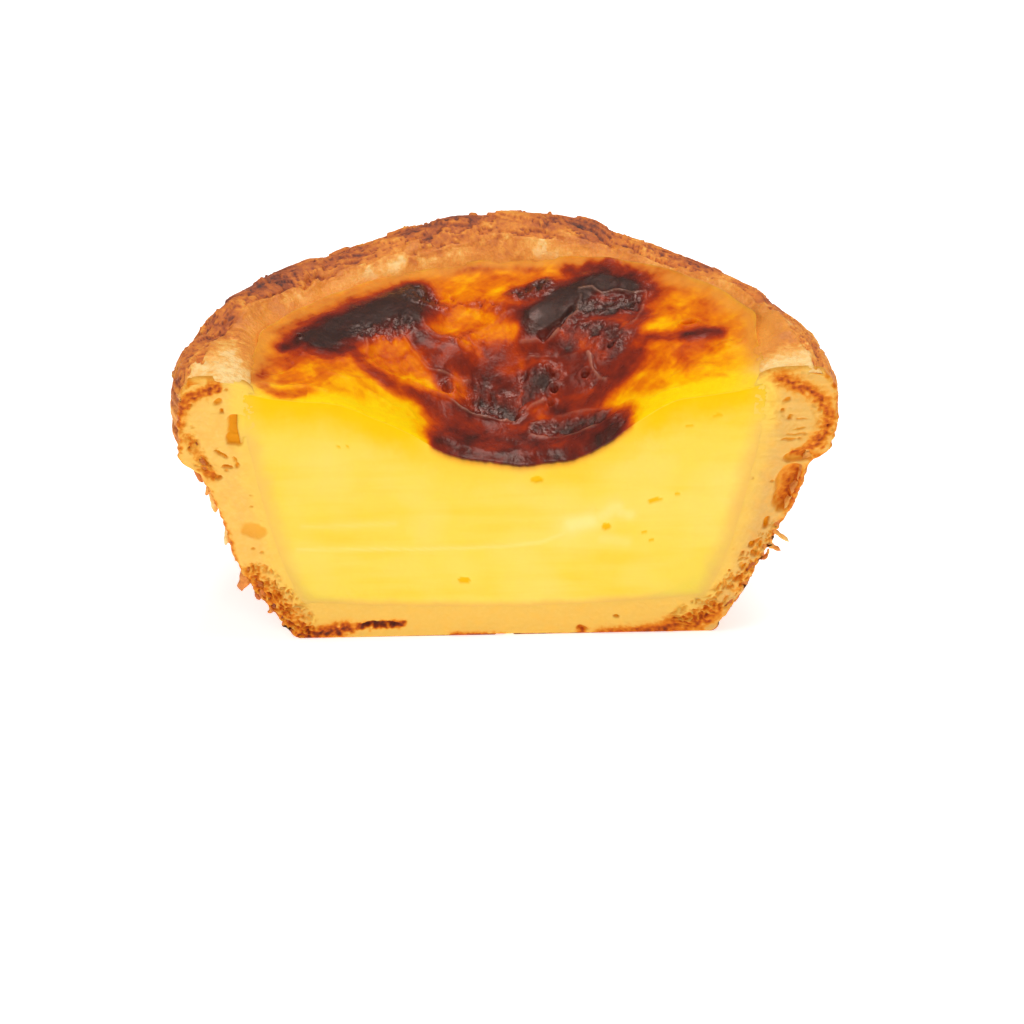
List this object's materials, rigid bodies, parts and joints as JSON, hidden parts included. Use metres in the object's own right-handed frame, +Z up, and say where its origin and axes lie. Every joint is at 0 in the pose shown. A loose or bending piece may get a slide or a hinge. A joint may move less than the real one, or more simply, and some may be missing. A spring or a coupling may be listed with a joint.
{
  "type": "half egg tart",
  "caption": "Baked custard tart cut in half: flaky pastry shell with a rolled lip, filled with egg custard under a scorched skin.",
  "frame": {"origin": "under the middle of the half's bounding box, on the surface that it stands on", "axes": "+X along the cut, to the right as seen from the cut side; +Y away from the cut, towards the round back; +Z up"},
  "size_m": [0.072, 0.036, 0.0339],
  "materials": {
    "baked_pastry": "matte",
    "egg_custard": "satin"
  },
  "bodies": {
    "root": {"pastry_shell": "baked_pastry", "custard": "egg_custard"}
  },
  "joints": []
}
